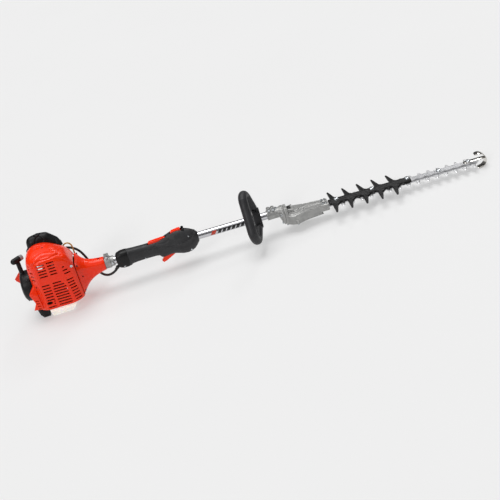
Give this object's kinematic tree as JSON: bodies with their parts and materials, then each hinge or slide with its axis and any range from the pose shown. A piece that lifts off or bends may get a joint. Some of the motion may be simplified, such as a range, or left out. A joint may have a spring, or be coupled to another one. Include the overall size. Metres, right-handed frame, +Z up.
{
  "type": "pole hedge trimmer",
  "caption": "Petrol pole hedge trimmer: rear engine, straight tube with throttle grip and loop handle, cast gear case and double-sided reciprocating blades under a spiked guard.",
  "frame": {"origin": "middle of the fuel tank's flat base, where the tool stands", "axes": "+X along the tool towards the blade tip, +Y to the operator's left, +Z up; the pole leans 2.25 degrees down towards the blades, as the tool stands on its tank and its tip guard"},
  "size_m": [1.5918, 0.2155, 0.2476],
  "materials": {
    "orange_plastic": "glossy moulded nylon",
    "black_plastic": "fine moulded grain",
    "grey_plastic": "dark grey moulded grip",
    "tank_plastic": "translucent natural polyethylene",
    "clear_bulb": "clear flexible bulb",
    "rubber": "black rubber",
    "fuel_hose": "amber fuel hose",
    "foam": "open cell foam",
    "tube_aluminium": "polished tube",
    "cast_aluminium": "bead blasted casting",
    "steel": "machined steel",
    "blade_steel": "ground blade steel",
    "zinc_screws": "bright zinc plating",
    "tip_chrome": "nickel plated sheet",
    "ceramic": "glazed ceramic and steel"
  },
  "bodies": {
    "tool": {"pole_tube": "tube_aluminium", "shaft_bushes": "rubber", "clutch_housing": "orange_plastic", "housing_clamp": "cast_aluminium", "socket_screws": "zinc_screws", "ball_bearings": "steel", "fan_housing": "black_plastic", "engine_cover": "orange_plastic", "top_shroud": "orange_plastic", "cover_screws": "zinc_screws", "starter_housing": "black_plastic", "starter_guard": "orange_plastic", "crankcase": "cast_aluminium", "cylinder_block": "cast_aluminium", "ignition_coil": "black_plastic", "spark_plug": "ceramic", "plug_cap": "rubber", "muffler": "steel", "carburettor": "cast_aluminium", "air_filter": "foam", "air_cleaner_base": "black_plastic", "air_cleaner_cover": "black_plastic", "fuel_tank": "tank_plastic", "rear_foot": "black_plastic", "fuel_line": "fuel_hose", "throttle_cable": "rubber", "handle_right": "grey_plastic", "handle_left": "grey_plastic", "loop_handle": "grey_plastic", "loop_clamp": "grey_plastic", "gearcase_rear": "cast_aluminium", "gearcase_body": "cast_aluminium", "gearcase_cover": "cast_aluminium", "blade_guide_bar": "tube_aluminium", "spike_guard": "black_plastic", "blade_bolts": "zinc_screws", "tip_guard": "tip_chrome"},
    "crank": {"crankshaft": "steel", "flywheel": "cast_aluminium", "clutch_shoes": "steel"},
    "drive": {"clutch_drum": "steel", "drive_shaft": "steel", "bevel_pinion": "steel"},
    "crank_gear": {"crank_gear": "steel"},
    "upper_rod": {"upper_rod": "steel"},
    "lower_rod": {"lower_rod": "steel"},
    "upper_blade": {"upper_blade": "blade_steel"},
    "lower_blade": {"lower_blade": "blade_steel"},
    "piston": {"piston": "cast_aluminium", "connecting_rod": "steel"},
    "reel": {"starter_reel": "black_plastic"},
    "grip": {"starter_grip": "black_plastic", "starter_rope": "rubber"},
    "trigger": {"throttle_trigger": "orange_plastic"},
    "lockout": {"lockout_lever": "orange_plastic"},
    "switch": {"stop_switch": "orange_plastic"},
    "fuel_cap": {"fuel_cap": "black_plastic"},
    "filter_knob": {"air_cleaner_knob": "black_plastic"},
    "choke": {"choke_lever": "black_plastic"},
    "purge_bulb": {"purge_bulb": "clear_bulb"}
  },
  "joints": [
    {"name": "crankshaft_spin", "type": "hinge", "parent": "tool", "child": "crank", "pos_m": [0, 0, 0.105], "axis": [0.9992, 0, -0.0393], "continuous": true},
    {"name": "drive_spin", "type": "hinge", "parent": "tool", "child": "drive", "pos_m": [0.39969, 0, 0.0893], "axis": [0.9992, 0, -0.0393], "continuous": true},
    {"name": "crank_gear_spin", "type": "hinge", "parent": "tool", "child": "crank_gear", "pos_m": [0.80886, 0, 0.06021], "axis": [0.0393, 0, 0.9992], "continuous": true},
    {"name": "upper_rod_pivot", "type": "hinge", "parent": "crank_gear", "child": "upper_rod", "pos_m": [0.80868, 0.008, 0.05561], "axis": [0.0393, 0, 0.9992], "continuous": true},
    {"name": "lower_rod_pivot", "type": "hinge", "parent": "crank_gear", "child": "lower_rod", "pos_m": [0.80855, -0.008, 0.05222], "axis": [0.0393, 0, 0.9992], "continuous": true},
    {"name": "upper_blade_slide", "type": "slide", "parent": "tool", "child": "upper_blade", "axis": [0.9992, 0, -0.0393], "range_m": [-0.008, 0.008]},
    {"name": "lower_blade_slide", "type": "slide", "parent": "tool", "child": "lower_blade", "axis": [0.9992, 0, -0.0393], "range_m": [-0.008, 0.008]},
    {"name": "piston_slide", "type": "slide", "parent": "tool", "child": "piston", "axis": [0.0393, 0, 0.9992], "range_m": [0, 0.028]},
    {"name": "starter_pull", "type": "slide", "parent": "tool", "child": "grip", "axis": [0.0393, 0, 0.9992], "range_m": [0, 0.7], "stiffness_N_per_m": 30, "springref_m": -0.1},
    {"name": "reel_spin", "type": "hinge", "parent": "tool", "child": "reel", "pos_m": [-0.09493, 0, 0.10873], "axis": [0.9992, 0, -0.0393], "range_deg": [0, 1824]},
    {"name": "trigger_squeeze", "type": "hinge", "parent": "tool", "child": "trigger", "pos_m": [0.40263, 0, 0.06216], "axis": [0, 1, 0], "range_deg": [0, 16], "stiffness_Nm_per_rad": 0.4, "springref_deg": -17.19},
    {"name": "lockout_press", "type": "hinge", "parent": "tool", "child": "lockout", "pos_m": [0.37452, 0, 0.1108], "axis": [0, 1, 0], "range_deg": [-7, 0], "stiffness_Nm_per_rad": 0.4, "springref_deg": 17.19},
    {"name": "switch_slide", "type": "slide", "parent": "tool", "child": "switch", "axis": [0.9992, 0, -0.0393], "range_m": [0, 0.008]},
    {"name": "fuel_cap_turn", "type": "hinge", "parent": "tool", "child": "fuel_cap", "pos_m": [0.00046, 0.0664, 0.01491], "axis": [0, 1, 0], "range_deg": [0, 540]},
    {"name": "filter_knob_turn", "type": "hinge", "parent": "tool", "child": "filter_knob", "pos_m": [-0.01271, 0.061, 0.2401], "axis": [0.0393, 0, 0.9992], "range_deg": [0, 1080]},
    {"name": "choke_turn", "type": "hinge", "parent": "tool", "child": "choke", "pos_m": [-0.00591, 0.078, 0.15827], "axis": [0, 1, 0], "range_deg": [-45, 0]},
    {"name": "purge_press", "type": "slide", "parent": "tool", "child": "purge_bulb", "axis": [0.0393, 0, 0.9992], "range_m": [0, 0.004], "stiffness_N_per_m": 200, "springref_m": -0.003}
  ],
  "couplings": [
    {"joint": "crank_gear_spin", "follows": "drive_spin", "ratio": -0.4},
    {"joint": "upper_rod_pivot", "follows": "drive_spin", "ratio": 0.4},
    {"joint": "lower_rod_pivot", "follows": "drive_spin", "ratio": 0.4},
    {"joint": "lower_blade_slide", "follows": "upper_blade_slide", "ratio": -1},
    {"joint": "reel_spin", "follows": "starter_pull", "rad_per_m": 45.455}
  ]
}
